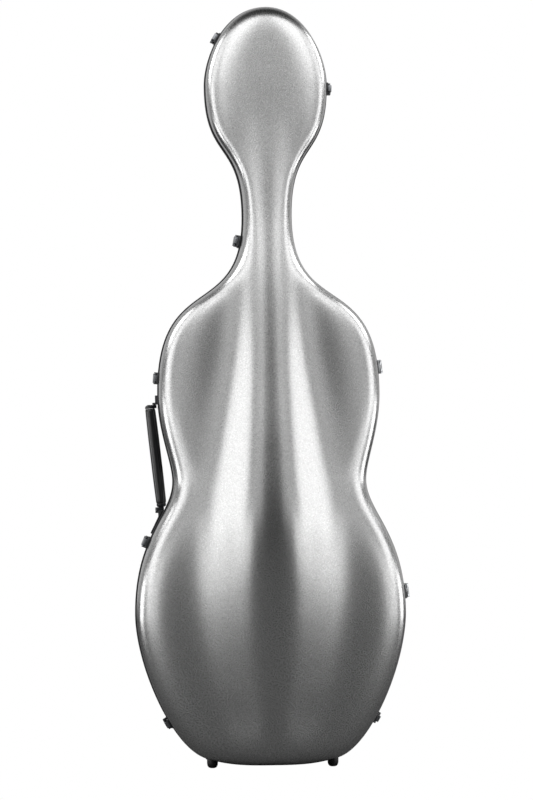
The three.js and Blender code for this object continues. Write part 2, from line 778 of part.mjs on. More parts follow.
const upperMount = seat(handleFrame, handleMount(topEye, -1, mountApron, upperPlateRun, 0));
const lowerMount = seat(handleFrame, handleMount(endEye, 1, 0, lowerPlateRun, lowerPlateLean));
add('handle_mount_upper', upperMount, blackHardware, handleFrame);
add('handle_mount_lower', lowerMount, blackHardware, handleFrame);

// The room inside the linings; what is fitted there is cut to it
function cavity(surface, thickness) {
  const inset = shellInset + shellWall + clearance + thickness + clearance;
  const sink = shellWall + clearance + thickness + clearance;
  const middle = outline.map((edge) => [0, 0, centreHeight(edge.z)]);
  return closed(faces([middle, skirtRow(surface, inset, 0), skirtRow(surface, inset, skirtHeight),
    ...dome(surface, inset, sink, liningRowShares)], surface.way < 0));
}
const backCavity = cavity(backSurface, liningThickness);
const lidCavity = cavity(lidSurface, lidLiningThickness);
const fitInside = (room, geometry) => geometryOf(largest(solid(geometry).intersect(solid(room))));

// Neck cradle: a padded block with a round saddle for the neck
const cradleDrop = 41;
const cradleRise = 19;
const cradleFace = 26;
const saddleRadius = 21;
const cradleBottom = neckHeight - cradleDrop;
const cradleTop = neckHeight + cradleRise;
const saddle = rod(
  saddleRadius,
  0,
  cradleFace,
  cradleBottom - clearance,
  cradleTop + clearance,
  saddleSides,
);
add('neck_cradle', cut(
  fitInside(backCavity, bar(-neckHalfWidth, neckHalfWidth, cradleFace, backDepth, cradleBottom, cradleTop)),
  saddle,
), velour);

// Rests behind the upper bout and beside the end block
const upperRestShares = { half: 0.32, face: 0.558, bottom: 0.5568, top: 0.606 };
const lowerRestFaceShare = 0.244;
const lowerRestSideShares = [[0.263, 0.0152], [0.806, 0.0152], [0.806, 0.0955], [0.263, 0.0697]];
const upperRestHalf = upperHalfWidth * upperRestShares.half;
add('upper_rest_pad', fitInside(backCavity, bar(
  -upperRestHalf,
  upperRestHalf,
  backDepth * upperRestShares.face,
  backDepth,
  caseHeight * upperRestShares.bottom,
  caseHeight * upperRestShares.top,
)), velour);
for (const [name, side] of [['left', -1], ['right', 1]]) {
  const wedgeSide = lowerRestSideShares.map(([across, up]) => [
    side * across * lowerHalfWidth,
    up * caseHeight,
  ]);
  const wedge = slab(wedgeSide, -backDepth, -backDepth * lowerRestFaceShare).rotateX(Math.PI / 2);
  add(`lower_rest_pad_${name}`, fitInside(backCavity, wedge), velour);
}

// Bow holders in the lid: a block with a notch for the stick and a spinner that turns over the notch
const bowBlockShares = { near: 0.297, far: 0.602, bottom: 0.1485, top: 0.1788, face: 0.575 };
const notchNearShare = 0.3732;
const spinnerShares = { across: 0.5174, up: 0.1636 };
const notchWidth = 14;
const notchDepth = 13;
const barLap = 8;
const spinnerTipShare = 0.6;
const spinnerHub = 3;
const bowBlock = {
  near: lowerHalfWidth * bowBlockShares.near,
  far: lowerHalfWidth * bowBlockShares.far,
  bottom: caseHeight * bowBlockShares.bottom,
  top: caseHeight * bowBlockShares.top,
  face: lidDepth * bowBlockShares.face,
};
const notchNear = lowerHalfWidth * notchNearShare;
const spinnerPlace = { x: lowerHalfWidth * spinnerShares.across, z: caseHeight * spinnerShares.up };
const spinnerStem = { radius: 5, pin: 2.5, length: 7, seat: 10 };
const spinnerBar = { short: 9, long: spinnerPlace.x - notchNear + barLap, half: 6, thickness: 5 };

for (const [name, side] of [['left', -1], ['right', 1]]) {
  const spanX = (near, far) => [Math.min(side * near, side * far), Math.max(side * near, side * far)];
  const block = bar(
    ...spanX(bowBlock.near, bowBlock.far),
    -lidDepth - spineRise,
    -bowBlock.face,
    bowBlock.bottom,
    bowBlock.top,
  );
  const notch = bar(
    ...spanX(notchNear, notchNear + notchWidth),
    -bowBlock.face - notchDepth,
    0,
    bowBlock.bottom - clearance,
    bowBlock.top + clearance,
  );
  const frame = new THREE.Group();
  frame.position.set(side * spinnerPlace.x, -bowBlock.face, spinnerPlace.z);
  frame.rotation.set(-Math.PI / 2, 0, 0);
  frame.updateMatrix();
  hardCase.add(frame);
  const socket = rod(spinnerStem.pin + clearance, 0, 0, -spinnerStem.seat - clearance, clearance)
    .applyMatrix4(frame.matrix);
  add(`bow_block_${name}`, cut(fitInside(lidCavity, block), notch, socket), blackTrim);
  const wing = slab([
    [side * spinnerBar.short, -spinnerBar.half],
    [side * spinnerBar.short, spinnerBar.half],
    [-side * spinnerBar.long, spinnerBar.half * spinnerTipShare],
    [-side * spinnerBar.long, -spinnerBar.half * spinnerTipShare],
  ], clearance, spinnerBar.thickness);
  add(`bow_spinner_${name}`, join(
    wing,
    rod(spinnerStem.radius + spinnerHub, 0, 0, clearance, spinnerBar.thickness),
    rod(spinnerStem.radius, 0, 0, clearance, spinnerStem.length),
    rod(spinnerStem.pin, 0, 0, -spinnerStem.seat, spinnerBar.thickness),
  ), blackHardware, frame);
}

// Bow tip pocket: a pouch on the lid lining, open at its lower edge
const pocketShares = { half: 0.238, bottom: 0.6, top: 0.6606, face: 0.475, mouth: 0.78 };
const pocketWall = 3;
const pocketSlot = 10;
const pocketHalf = upperHalfWidth * pocketShares.half;
const pocketFace = lidDepth * pocketShares.face;
const pocketBottom = caseHeight * pocketShares.bottom;
const pocketTop = caseHeight * pocketShares.top;
const pouch = fitInside(
  lidCavity,
  bar(-pocketHalf, pocketHalf, -lidDepth - spineRise, -pocketFace, pocketBottom, pocketTop),
);
add('bow_tip_pocket', cut(pouch, bar(
  pocketWall - pocketHalf,
  pocketHalf - pocketWall,
  -pocketFace - pocketWall - pocketSlot,
  -pocketFace - pocketWall,
  pocketBottom - clearance,
  THREE.MathUtils.lerp(pocketBottom, pocketTop, pocketShares.mouth),
)), velour);

// Strap loops: one on the right shoulder and two low on the back
const loop = {
  half: 19,
  post: 7,
  top: 9,
  slotTop: 6.2,
  shoulder: 4.2,
  slotFloor: -1.4,
  sink: 16,
  width: 8,
};
const shoulderLoop = { heightShare: 0.649, distance: 50, out: -6.5 };
const lowerLoops = { x: 96, heightShare: 0.2, surfaceShare: 0.98 };

// An arch drawn with its feet below and its span along y, with its slot along z
const loopArch = () => slab([
  [-loop.sink, -loop.half],
  [-loop.sink, loop.half],
  [loop.slotFloor, loop.half],
  [loop.top, loop.half - loop.shoulder],
  [loop.top, loop.shoulder - loop.half],
  [loop.slotFloor, -loop.half],
], -loop.width / 2, loop.width / 2);
const loopSlot = () => slab([
  [loop.slotFloor, loop.post - loop.half],
  [loop.slotTop, loop.post - loop.half],
  [loop.slotTop, loop.half - loop.post],
  [loop.slotFloor, loop.half - loop.post],
], -loop.width, loop.width);

const shoulderFrame = rimFrame(1, shoulderLoop.heightShare * caseHeight);
const shoulderPlace = new THREE.Matrix4().makeTranslation(shoulderLoop.out, shoulderLoop.distance, 0);
add('strap_loop_shoulder', seat(shoulderFrame, cut(loopArch(), loopSlot()).applyMatrix4(shoulderPlace)),
  blackHardware, shoulderFrame);
for (const [name, side] of [['left', -1], ['right', 1]]) {
  const height = lowerLoops.heightShare * caseHeight;
  const frame = new THREE.Group();
  frame.rotation.set(0, 0, Math.PI / 2);
  frame.position.set(side * lowerLoops.x, backDepth * lowerLoops.surfaceShare, height);
  frame.updateMatrix();
  hardCase.add(frame);
  add(`strap_loop_${name}`, seat(frame, cut(loopArch(), loopSlot())), blackHardware, frame);
}

export default hardCase;
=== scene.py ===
import math

import bmesh
import bpy
from mathutils import Matrix, Vector


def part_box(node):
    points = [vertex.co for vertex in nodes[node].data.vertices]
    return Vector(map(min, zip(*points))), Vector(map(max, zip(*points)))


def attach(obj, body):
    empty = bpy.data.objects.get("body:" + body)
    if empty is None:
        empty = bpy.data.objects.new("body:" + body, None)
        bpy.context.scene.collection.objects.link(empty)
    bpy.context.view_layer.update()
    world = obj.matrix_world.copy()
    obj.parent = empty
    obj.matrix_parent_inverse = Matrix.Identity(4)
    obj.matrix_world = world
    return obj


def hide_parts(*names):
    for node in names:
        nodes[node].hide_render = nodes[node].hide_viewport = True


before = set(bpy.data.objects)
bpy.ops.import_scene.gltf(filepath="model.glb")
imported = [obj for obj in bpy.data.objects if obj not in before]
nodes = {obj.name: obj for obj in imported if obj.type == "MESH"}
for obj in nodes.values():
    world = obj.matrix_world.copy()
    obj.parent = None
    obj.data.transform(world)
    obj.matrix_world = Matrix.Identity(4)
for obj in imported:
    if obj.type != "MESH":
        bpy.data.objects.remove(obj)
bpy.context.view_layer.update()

mm = 0.001

# The studio: a plain floor and backdrop that look like white paper, and a long lens at the lid, a few
# degrees off its middle. The picture leans by about half a degree, so the camera is rolled by as much.
case_height = 1320 * mm
parting_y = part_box("rim_seal")[0].y
picture_height = 1393 * mm
camera_distance = 6.0
camera_height = 636.5 * mm
camera_side = -3.3 * mm
camera_turn = math.radians(2.8)
camera_roll = math.radians(-0.59)
sensor = 36.0

lens = bpy.data.cameras.new("studio_camera")
lens.sensor_width = sensor
lens.lens = sensor * camera_distance / picture_height
camera = bpy.data.objects.new("studio_camera", lens)
bpy.context.scene.collection.objects.link(camera)
camera.location = (camera_side - camera_distance * math.sin(camera_turn),
                   parting_y - camera_distance * math.cos(camera_turn), camera_height)
upright = Matrix.Rotation(math.radians(90), 3, "X")
turned = Matrix.Rotation(-camera_turn, 3, "Z") @ upright @ Matrix.Rotation(camera_roll, 3, "Z")
camera.rotation_euler = turned.to_euler()
bpy.context.scene.camera = camera
bpy.context.scene.view_settings.view_transform = "Standard"


def linear(hexed):
    """The linear colour, with full alpha, of an sRGB hex value."""
    parts = [int(hexed[place:place + 2], 16) / 255 for place in (0, 2, 4)]
    curve = [part / 12.92 if part <= 0.04045 else ((part + 0.055) / 1.055) ** 2.4 for part in parts]
    return (*curve, 1)


def add_node(material, kind, settings=None, links=None):
    """Adds one shader node. Settings are attributes or socket values; links are what feeds a socket."""
    node = material.node_tree.nodes.new(kind)
    for name, value in (settings or {}).items():
        if isinstance(name, int) or name in node.inputs:
            node.inputs[name].default_value = value
        else:
            setattr(node, name, value)
    for name, source in (links or {}).items():
        material.node_tree.links.new(source, node.inputs[name])
    return node


def new_material(name):
    material = bpy.data.materials.new(name)
    material.use_nodes = True
    material.node_tree.nodes.clear()
    return material


def output(material, surface):
    add_node(material, "ShaderNodeOutputMaterial", links={"Surface": surface})


white = linear("FFFFFF")
floor_grey = "666666"
floor_size = 12.0


def backdrop(name, hexed):
    """A matt painted surface that the camera sees as white paper."""
    material = new_material(name)
    paint = add_node(material, "ShaderNodeBsdfDiffuse", {"Color": linear(hexed)})
    paper = add_node(material, "ShaderNodeEmission", {"Color": white, "Strength": 1.0})
    path = add_node(material, "ShaderNodeLightPath")
    mixed = add_node(material, "ShaderNodeMixShader", links={
        0: path.outputs["Is Camera Ray"], 1: paint.outputs[0], 2: paper.outputs[0],
    })
    output(material, mixed.outputs[0])
    return material


bpy.ops.mesh.primitive_plane_add(size=floor_size, location=(0, 0, 0))
floor = bpy.context.object
floor.name = "studio_floor"
floor.data.materials.append(backdrop("studio_floor_paint", floor_grey))

# Behind the case the air glows, more the further back a ray points. The camera sees it white.
glow_start = -0.1
glow_full = 0.7
glow_strength = 0.55
world = bpy.data.worlds.new("studio_air")
bpy.context.scene.world = world
world.use_nodes = True
world.node_tree.nodes.clear()
around = add_node(world, "ShaderNodeTexCoord")
facing = add_node(world, "ShaderNodeSeparateXYZ", links={0: around.outputs["Generated"]})
glow = add_node(world, "ShaderNodeMapRange", {
    "From Min": glow_start, "From Max": glow_full, "To Min": 0.0, "To Max": glow_strength,
}, {"Value": facing.outputs["Y"]})
dim = add_node(world, "ShaderNodeBackground", {"Color": white}, {"Strength": glow.outputs["Result"]})
paper = add_node(world, "ShaderNodeBackground", {"Color": white, "Strength": 1.0})
path = add_node(world, "ShaderNodeLightPath")
blend = add_node(world, "ShaderNodeMixShader", links={
    0: path.outputs["Is Camera Ray"], 1: dim.outputs[0], 2: paper.outputs[0],
})
add_node(world, "ShaderNodeOutputWorld", links={"Surface": blend.outputs[0]})

# Pairs of soft boxes stand round the lid as the sides of a light tent, with a gap for the lens. Each is
# given by its azimuth and elevation in degrees and its watts.
tent_turn = 3
tent_distance = 2.6
tent_middle = Vector((0, 0, 0.66))
box_size = 1.15
tent_boxes = [(18, 32, 9.9), (28, 8, 2.5), (50, 32, 7.6), (48, -14, 7.1), (62, 8, 8.6), (90, 32, 21),
              (88, -14, 15.4)]


def softbox(name, azimuth, elevation, watts):
    light = bpy.data.lights.new(name, "AREA")
    light.size = box_size
    light.energy = watts
    lamp = bpy.data.objects.new(name, light)
    bpy.context.scene.collection.objects.link(lamp)
    turn, lift = math.radians(azimuth), math.radians(elevation)
    way = Vector((math.sin(turn) * math.cos(lift), -math.cos(turn) * math.cos(lift), math.sin(lift)))
    lamp.location = tent_middle + way * tent_distance
    lamp.rotation_euler = (-way).to_track_quat("-Z", "Y").to_euler()


for number, (azimuth, elevation, watts) in enumerate(tent_boxes):
    softbox(f"tent_right_{number}", tent_turn + azimuth, elevation, watts)
    softbox(f"tent_left_{number}", tent_turn - azimuth, elevation, watts)

# The two shells are laid up from composite over one mould each, then sprayed silver and lacquered.
# Their outline is a chain of curves from the top of the head down to the middle of the bottom.
head = (107 * mm, 1183 * mm)
neck = (43.4 * mm, 956 * mm)
upper_bout = (193.5 * mm, 648 * mm)
waist = (168.7 * mm, 496.58 * mm)
lower_bout = (235.8 * mm, 265.5 * mm)
base_corner = (114.3 * mm, 14.5 * mm)
bottom_z = 3.5 * mm
bottom_slope = 0.29
head_top_shares = (0.655, 0.378)
side_shares = [(0.574, 0.59), (0.601, 0.717), (0.434, 0.229), (0.249, 0.598)]
lower_corner_shares = (0.349, 0.57)
corner_bottom_shares = (0.4, 0.4)
outline_steps = [30, 30, 44, 26, 30, 34, 12]


def curve_point(ends, t):
    """A point and the tangent of a cubic curve."""
    a, b, c, d = [Vector(end) for end in ends]
    s = 1 - t
    point = a * s ** 3 + b * 3 * s * s * t + c * 3 * s * t * t + d * t ** 3
    tangent = (b - a) * s * s + (c - b) * 2 * s * t + (d - c) * t * t
    return point, tangent.normalized()


def half_outline():
    """Edge points (x, z, out x, out z) of the right side, from the top to the bottom."""
    head_rise = (case_height - head[1]) * head_top_shares[1]
    chain = [[(0, case_height), (head[0] * head_top_shares[0], case_height),
              (head[0], head[1] + head_rise), head]]
    stations = [head, neck, upper_bout, waist, lower_bout]
    for start, end, (first, second) in zip(stations, stations[1:], side_shares):
        drop = start[1] - end[1]
        leave, arrive = (start[0], start[1] - drop * first), (end[0], end[1] + drop * second)
        chain.append([start, leave, arrive, end])
    way = Vector((math.cos(bottom_slope), math.sin(bottom_slope)))
    fall = lower_bout[1] - base_corner[1]
    corner = Vector(base_corner)
    corner_run = fall * (1 - lower_corner_shares[1]) * lower_corner_shares[1]
    chain.append([lower_bout, (lower_bout[0], lower_bout[1] - fall * lower_corner_shares[0]),
                  corner + way * corner_run, corner])
    chain.append([corner, corner - way * (corner.x * corner_bottom_shares[0]),
                  (corner.x * corner_bottom_shares[1], bottom_z), (0, bottom_z)])
    edges = []
    for ends, steps in zip(chain, outline_steps):
        for step in range(steps):
            point, tangent = curve_point(ends, step / steps)
            edges.append((point.x, point.y, -tangent.y, tangent.x))
    edges.append((0, bottom_z, 0, -1))
    edges[0] = (0, case_height, 0, 1)
    return edges


right_side = half_outline()
outline = right_side + [(-x, z, -out_x, out_z) for x, z, out_x, out_z in right_side[-2:0:-1]]

# How deep each shell is, as shares of its greatest depth at shares of the height. The lid also has a
# spine over the strings and the bridge. Its power, over 2, makes its top a little flatter than a bell.
lid_depth = 80 * mm
lid_depth_shares = [(0, 0.98), (0.2, 1), (0.34, 1), (0.5, 0.9), (0.65, 0.83), (0.74, 0.78), (0.9, 0.73),
                    (1, 0.7)]
spine_rise = 48 * mm
spine_rise_shares = [(0, 0.45), (0.1, 0.62), (0.21, 0.86), (0.32, 1), (0.42, 0.86), (0.52, 0.63),
                     (0.62, 0.42), (0.73, 0.18), (0.84, 0.03), (0.92, 0), (1, 0)]
spine_width = 65 * mm
spine_width_shares = [(0, 0.55), (0.06, 0.62), (0.113, 0.8), (0.17, 0.93), (0.24, 1), (0.324, 0.94),
                      (0.377, 0.84), (0.43, 0.75), (0.482, 0.66), (0.53, 0.58), (0.6, 0.52), (0.7, 0.44),
                      (1, 0.4)]
spine_spread = 1.43
spine_power = 2.5
back_depth = 172 * mm
back_depth_shares = [(0, 0.98), (0.2, 1), (0.4, 0.95), (0.5, 0.87), (0.62, 0.7), (0.73, 0.46),
                     (0.84, 0.47), (0.92, 0.5), (1, 0.5)]
lid_roundness = 5.5
lid_crown = 12 * mm
back_roundness = 3.4
bottom_cap = 110 * mm
head_cap = 75 * mm
cap_fade = 1.3
shell_wall = 3 * mm
rim_wall = 2 * mm
rim_web = 3 * mm
rim_height = 8 * mm
rim_gap = 0.4 * mm
seat = 0.3 * mm
shell_inset = rim_wall + seat
rim_width = shell_inset + shell_wall + seat + rim_wall
skirt_lap = 1 * mm
skirt = rim_height + skirt_lap
dome_rows = 18
edge_share = 0.12
shell_smooth = 40
merge_gap = 0.01 * mm


def value_at(table, z):
    """The value that a table of (height share, value) has at a height, on a smooth curve."""
    share = min(max(z / case_height, 0), 1)
    index = max([row for row in range(len(table) - 1) if table[row][0] <= share])

    def slope(at):
        before, after = table[max(0, at - 1)], table[min(len(table) - 1, at + 1)]
        return (after[1] - before[1]) / (after[0] - before[0])

    start, end = table[index], table[index + 1]
    run = end[0] - start[0]
    u = (share - start[0]) / run
    rise = end[1] - start[1]
    bend, tail = run * slope(index), run * slope(index + 1)
    return start[1] + u * (bend + u * (3 * rise - 2 * bend - tail + u * (bend + tail - 2 * rise)))


def centre_height(z):
    """Where the line in from a rim point at height z meets the middle of the case."""
    low = bottom_cap * math.exp((bottom_z - z) / (bottom_cap * cap_fade))
    high = head_cap * math.exp((z - case_height) / (head_cap * cap_fade))
    return z + low - high


def depth_at(way, x, z):
    """Depth of the lid (way -1) or of the back (way 1) in from the parting plane."""
    if way > 0:
        return back_depth * value_at(back_depth_shares, z)
    rise = spine_rise * max(0, value_at(spine_rise_shares, z))
    width = spine_width * value_at(spine_width_shares, z)
    plain = lid_depth * value_at(lid_depth_shares, z) - lid_crown * (x / lower_bout[0]) ** 2
    return plain + rise * math.exp(-(abs(x) / (spine_spread * width)) ** spine_power)


def skirt_row(way, inset, distance):
    return [Vector((x - out_x * inset, parting_y + way * distance, z - out_z * inset))
            for x, z, out_x, out_z in outline]


def dome_row(way, inset, sink, reach):
    """A row round the dome; reach goes from 1 at the skirt to 0 on the centre line."""
    roundness = back_roundness if way > 0 else lid_roundness
    rise = (1 - reach ** roundness) ** (1 / roundness)
    row = []
    for x, z, out_x, out_z in outline:
        start_x, start_z = x - out_x * inset, z - out_z * inset
        px = start_x * reach
        pz = start_z + (centre_height(z) - start_z) * (1 - reach)
        py = skirt + rise * (depth_at(way, px, pz) - sink - skirt)
        row.append(Vector((px, parting_y + way * py, pz)))
    return row


def dome(way, inset, sink, rows=dome_rows):
    """Rows that stand close together on the rounded edge and evenly over the middle."""
    roundness = back_roundness if way > 0 else lid_roundness
    edge = [1 - edge_share * (step / rows) ** roundness for step in range(1, rows)]
    middle = [(1 - edge_share) * (1 - step / rows) for step in range(rows + 1)]
    return [dome_row(way, inset, sink, reach) for reach in edge + middle]


def join_rows(mesh, first, second):
    for place in range(len(first)):
        after = (place + 1) % len(first)
        mesh.faces.new((first[place], first[after], second[after], second[place]))


def show(name, data):
    piece = bpy.data.objects.new(name, data)
    bpy.context.scene.collection.objects.link(piece)
    return piece


def to_piece(name, mesh):
    """The object that a finished bmesh becomes, with its faces pointing outwards."""
    bmesh.ops.recalc_face_normals(mesh, faces=mesh.faces)
    data = bpy.data.meshes.new(name)
    mesh.to_mesh(data)
    mesh.free()
    return show(name, data)


def rows_to_piece(name, rows, ring=False):
    """One closed mesh from rows of points round the outline; a ring joins its last row to the first."""
    mesh = bmesh.new()
    grid = [[mesh.verts.new(point) for point in row] for row in rows]
    for first, second in list(zip(grid, grid[1:])) + ([(grid[-1], grid[0])] if ring else []):
        join_rows(mesh, first, second)
    bmesh.ops.remove_doubles(mesh, verts=mesh.verts, dist=merge_gap)
    return to_piece(name, mesh)


def select_only(piece):
    bpy.ops.object.select_all(action="DESELECT")
    piece.select_set(True)
    bpy.context.view_layer.objects.active = piece


def smooth_by_angle(piece, degrees):
    select_only(piece)
    bpy.ops.object.shade_smooth_by_angle(angle=math.radians(degrees))


def fit(piece, body, slot, material, *replaced):
    """A finished piece: its material, the body that it moves with and the nodes that it stands for."""
    piece.data.materials.clear()
    piece.data.materials.append(material)
    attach(piece, body)
    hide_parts(*replaced)


def shell_skin(way, inset, sink):
    """One side of a shell's wall, from its edge in the rim to its middle."""
    return [skirt_row(way, inset, rim_web + seat), skirt_row(way, inset, skirt), *dome(way, inset, sink)]


def shell(name, way):
    outside = shell_skin(way, shell_inset, 0)
    inside = shell_skin(way, shell_inset + shell_wall, shell_wall)
    piece = rows_to_piece(name, [*reversed(outside), *inside])
    smooth_by_angle(piece, shell_smooth)
    return piece


# Silver car paint: aluminium flake in a clear coat, which gives a satin metal with a fine mottle of
# lighter and darker flake. The flake is drawn 1 mm wide and the mottle about 2 mm, coarser than real, so
# that they show from a step away.
flake_size = 1 * mm
flake_height = 0.25 * mm
flake_share = 0.5
grain_size = 2.2 * mm
grain_share = 0.6
silver_dark = "A8A8A8"
silver_light = "D2D2D2"


def silver_paint():
    material = new_material("silver_flake_lacquer")
    place = add_node(material, "ShaderNodeTexCoord")
    flakes = add_node(material, "ShaderNodeTexVoronoi", {"Scale": 1 / flake_size},
                      {"Vector": place.outputs["Object"]})
    cell = add_node(material, "ShaderNodeSeparateColor", links={"Color": flakes.outputs["Color"]})
    grain = add_node(material, "ShaderNodeTexNoise", {"Scale": 1 / grain_size, "Detail": 3.0},
                     {"Vector": place.outputs["Object"]})
    soft = add_node(material, "ShaderNodeMath", {"operation": "MULTIPLY", 1: grain_share},
                    {0: grain.outputs["Fac"]})
    both = add_node(material, "ShaderNodeMath", {"operation": "MULTIPLY_ADD", 1: flake_share},
                    {0: cell.outputs[0], 2: soft.outputs[0]})
    colour = add_node(material, "ShaderNodeValToRGB", links={"Fac": both.outputs[0]})
    colour.color_ramp.elements[0].position = 0.08
    colour.color_ramp.elements[0].color = linear(silver_dark)
    colour.color_ramp.elements[1].position = 0.95
    colour.color_ramp.elements[1].color = linear(silver_light)
    tilt = add_node(material, "ShaderNodeBump", {"Strength": 0.03, "Distance": flake_height},
                    {"Height": cell.outputs[1]})
    rough = add_node(material, "ShaderNodeMapRange", {"To Min": 0.26, "To Max": 0.3},
                     {"Value": cell.outputs[2]})
    paint = add_node(material, "ShaderNodeBsdfPrincipled", {
        "Metallic": 0.97, "Coat Weight": 0.2, "Coat Roughness": 0.12,
    }, {
        "Base Color": colour.outputs["Color"], "Roughness": rough.outputs["Result"],
        "Normal": tilt.outputs["Normal"],
    })
    output(material, paint.outputs[0])
    return material


silver = silver_paint()
fit(shell("lid_shell_outer", -1), "lid", "silver_shell", silver, "lid_shell")
fit(shell("back_shell_outer", 1), "back", "silver_shell", silver, "back_shell")

# The rims are black extruded channel, rolled round each shell's edge, with softly rounded corners. A
# rubber seal lies in a groove of the back rim.
edge_round = 0.5 * mm
edge_reach_share = 0.4
corner_lift_share = 0.4
seal_width = 2.2 * mm
seal_groove = 1.2 * mm


def rounded(section):
    """A closed section with each corner cut twice, so that it takes the light as a round edge."""
    points = []
    for place, corner in enumerate(section):
        here = Vector(corner)
        ends = []
        for other in (Vector(section[place - 1]), Vector(section[(place + 1) % len(section)])):
            reach = min(edge_round, (other - here).length * edge_reach_share)
            ends.append(here + (other - here).normalized() * reach)
        middle = (ends[0] + ends[1]) / 2
        points += [ends[0], middle + (here - middle) * corner_lift_share, ends[1]]
    return points


def ring(name, way, section):
    rows = [skirt_row(way, inset, distance) for inset, distance in rounded(section)]
    piece = rows_to_piece(name, rows, ring=True)
    smooth_by_angle(piece, shell_smooth)
    return piece


blotch_size = 40 * mm
dent_depth = 0.2 * mm


def satin_black(name, hexed, roughness, grain, bump):
    """Black coated or moulded surface with a fine grain and an uneven polish."""
    material = new_material(name)
    place = add_node(material, "ShaderNodeTexCoord")
    noise = add_node(material, "ShaderNodeTexNoise", {"Scale": 1 / grain, "Detail": 4.0},
                     {"Vector": place.outputs["Object"]})
    blotch = add_node(material, "ShaderNodeTexNoise", {"Scale": 1 / blotch_size, "Detail": 2.0},
                      {"Vector": place.outputs["Object"]})
    shade = add_node(material, "ShaderNodeMapRange", {
        "To Min": roughness - 0.08, "To Max": roughness + 0.1,
    }, {"Value": blotch.outputs["Fac"]})
    dent = add_node(material, "ShaderNodeBump", {"Strength": bump, "Distance": dent_depth},
                    {"Height": noise.outputs["Fac"]})
    skin = add_node(material, "ShaderNodeBsdfPrincipled", {"Base Color": linear(hexed)},
                    {"Roughness": shade.outputs["Result"], "Normal": dent.outputs["Normal"]})
    output(material, skin.outputs[0])
    return material


trim_black = satin_black("moulded_black_nylon", "1A1A1C", 0.42, 0.8 * mm, 0.12)
seal_rubber = satin_black("black_epdm_rubber", "101010", 0.75, 1.2 * mm, 0.2)
channel = [(rim_width, rim_height), (rim_width - rim_wall, rim_height), (rim_width - rim_wall, rim_web),
           (rim_wall, rim_web), (rim_wall, rim_height), (0, rim_height), (0, rim_gap)]
channel_end = (rim_width, rim_gap)
seal_inset = (rim_width - seal_width) / 2
groove_floor = rim_gap + seal_groove
groove_start, groove_stop = seal_inset - seat, seal_inset + seal_width + seat
groove = [(groove_start, rim_gap), (groove_start, groove_floor), (groove_stop, groove_floor),
          (groove_stop, rim_gap)]
seal_foot = rim_gap + seal_groove - seat
seal_tip = seat - rim_gap
bead = [(seal_inset, seal_tip), (seal_inset + seal_width, seal_tip), (seal_inset + seal_width, seal_foot),
        (seal_inset, seal_foot)]
back_ring = ring("back_rim_channel", 1, [*channel, *groove, channel_end])
fit(back_ring, "back", "black_trim", trim_black, "back_rim")
fit(ring("lid_rim_channel", -1, [*channel, channel_end]), "lid", "black_trim", trim_black, "lid_rim")
fit(ring("rim_seal_bead", 1, bead), "back", "rubber", seal_rubber, "rim_seal")

# The linings are foam under charcoal velour, glued into the shells with a rolled edge at the rim.
lining_thickness = 12 * mm
lid_lining_thickness = 8 * mm
lining_rows = 10
roll_shares = (0.15, 0.35, 0.65, 0.85)
roll_height_share = 0.12
lining_smooth = 60
pile_size = 0.9 * mm
pile_depth = 0.3 * mm
brushed_size = 55 * mm
velour_dark = "26282C"
velour_light = "45484F"


def velour_cloth():
    """A short charcoal pile that hands have brushed both ways, so it is lighter in soft patches."""
    material = new_material("charcoal_velour")
    place = add_node(material, "ShaderNodeTexCoord")
    pile = add_node(material, "ShaderNodeTexNoise", {"Scale": 1 / pile_size, "Detail": 3.0},
                    {"Vector": place.outputs["Object"]})
    brushed = add_node(material, "ShaderNodeTexNoise", {
        "Scale": 1 / brushed_size, "Detail": 2.0, "Distortion": 0.6,
    }, {"Vector": place.outputs["Object"]})
    both = add_node(material, "ShaderNodeMath", {"operation": "MULTIPLY"},
                    {0: pile.outputs["Fac"], 1: brushed.outputs["Fac"]})
    shade = add_node(material, "ShaderNodeMapRange", {"From Min": 0.12, "From Max": 0.42},
                     {"Value": both.outputs[0]})
    colour = add_node(material, "ShaderNodeValToRGB", links={"Fac": shade.outputs["Result"]})
    colour.color_ramp.elements[0].color = linear(velour_dark)
    colour.color_ramp.elements[1].color = linear(velour_light)
    fuzz = add_node(material, "ShaderNodeBump", {"Strength": 0.4, "Distance": pile_depth},
                    {"Height": pile.outputs["Fac"]})
    cloth = add_node(material, "ShaderNodeBsdfPrincipled", {
        "Roughness": 0.95, "Sheen Weight": 0.6, "Sheen Roughness": 0.4, "Specular IOR Level": 0.2,
    }, {"Base Color": colour.outputs["Color"], "Normal": fuzz.outputs["Normal"]})
    output(material, cloth.outputs[0])
    return material


def lining_skin(way, inset, sink):
    return [skirt_row(way, inset, skirt), *dome(way, inset, sink, lining_rows)]


def lining(name, way, thickness):
    """Padding from the shell's wall inwards, with its edge rolled towards the other half."""
    inset = shell_inset + shell_wall + seat
    sink = shell_wall + seat
    outside = lining_skin(way, inset, sink)
    inside = lining_skin(way, inset + thickness, sink + thickness)
    roll = []
    for share in roll_shares:
        bulge = thickness * roll_height_share * math.sin(math.pi * share)
        roll.append(skirt_row(way, inset + thickness * share, skirt - bulge))
    piece = rows_to_piece(name, [*reversed(outside), *roll, *inside])
    smooth_by_angle(piece, lining_smooth)
    return piece


velour = velour_cloth()
fit(lining("back_lining_padded", 1, lining_thickness), "back", "velour", velour, "back_lining")
fit(lining("lid_lining_padded", -1, lid_lining_thickness), "lid", "velour", velour, "lid_lining")

